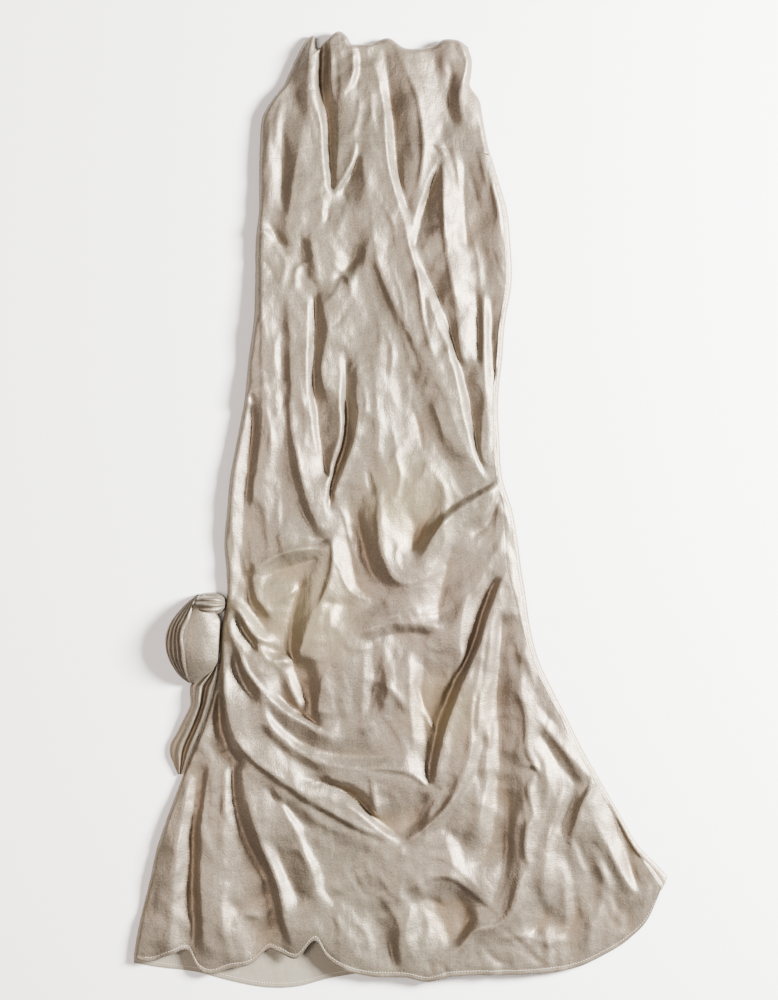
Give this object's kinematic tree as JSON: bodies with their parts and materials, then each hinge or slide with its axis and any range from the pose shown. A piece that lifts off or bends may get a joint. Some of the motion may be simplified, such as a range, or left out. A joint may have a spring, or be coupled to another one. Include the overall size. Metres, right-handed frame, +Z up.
{
  "type": "halter dress",
  "caption": "Long satin halter dress laid out flat, with a cowl neck, a draped front caught at the side, a knotted bow at the hip and a flared hem.",
  "frame": {"origin": "middle of the dress's box, on the surface that it lies on", "axes": "+Y towards the neck, +X towards the side seam without the bow, +Z up out of the surface"},
  "size_m": [0.7986, 1.4296, 0.049],
  "materials": {
    "satin": "washed champagne satin, soft sheen over a fine slubbed weave"
  },
  "bodies": {
    "root": {"back_panel": "satin", "front_panel": "satin", "front_yoke": "satin", "hip_knot": "satin", "bow_loop": "satin", "bow_tail": "satin"}
  },
  "joints": []
}
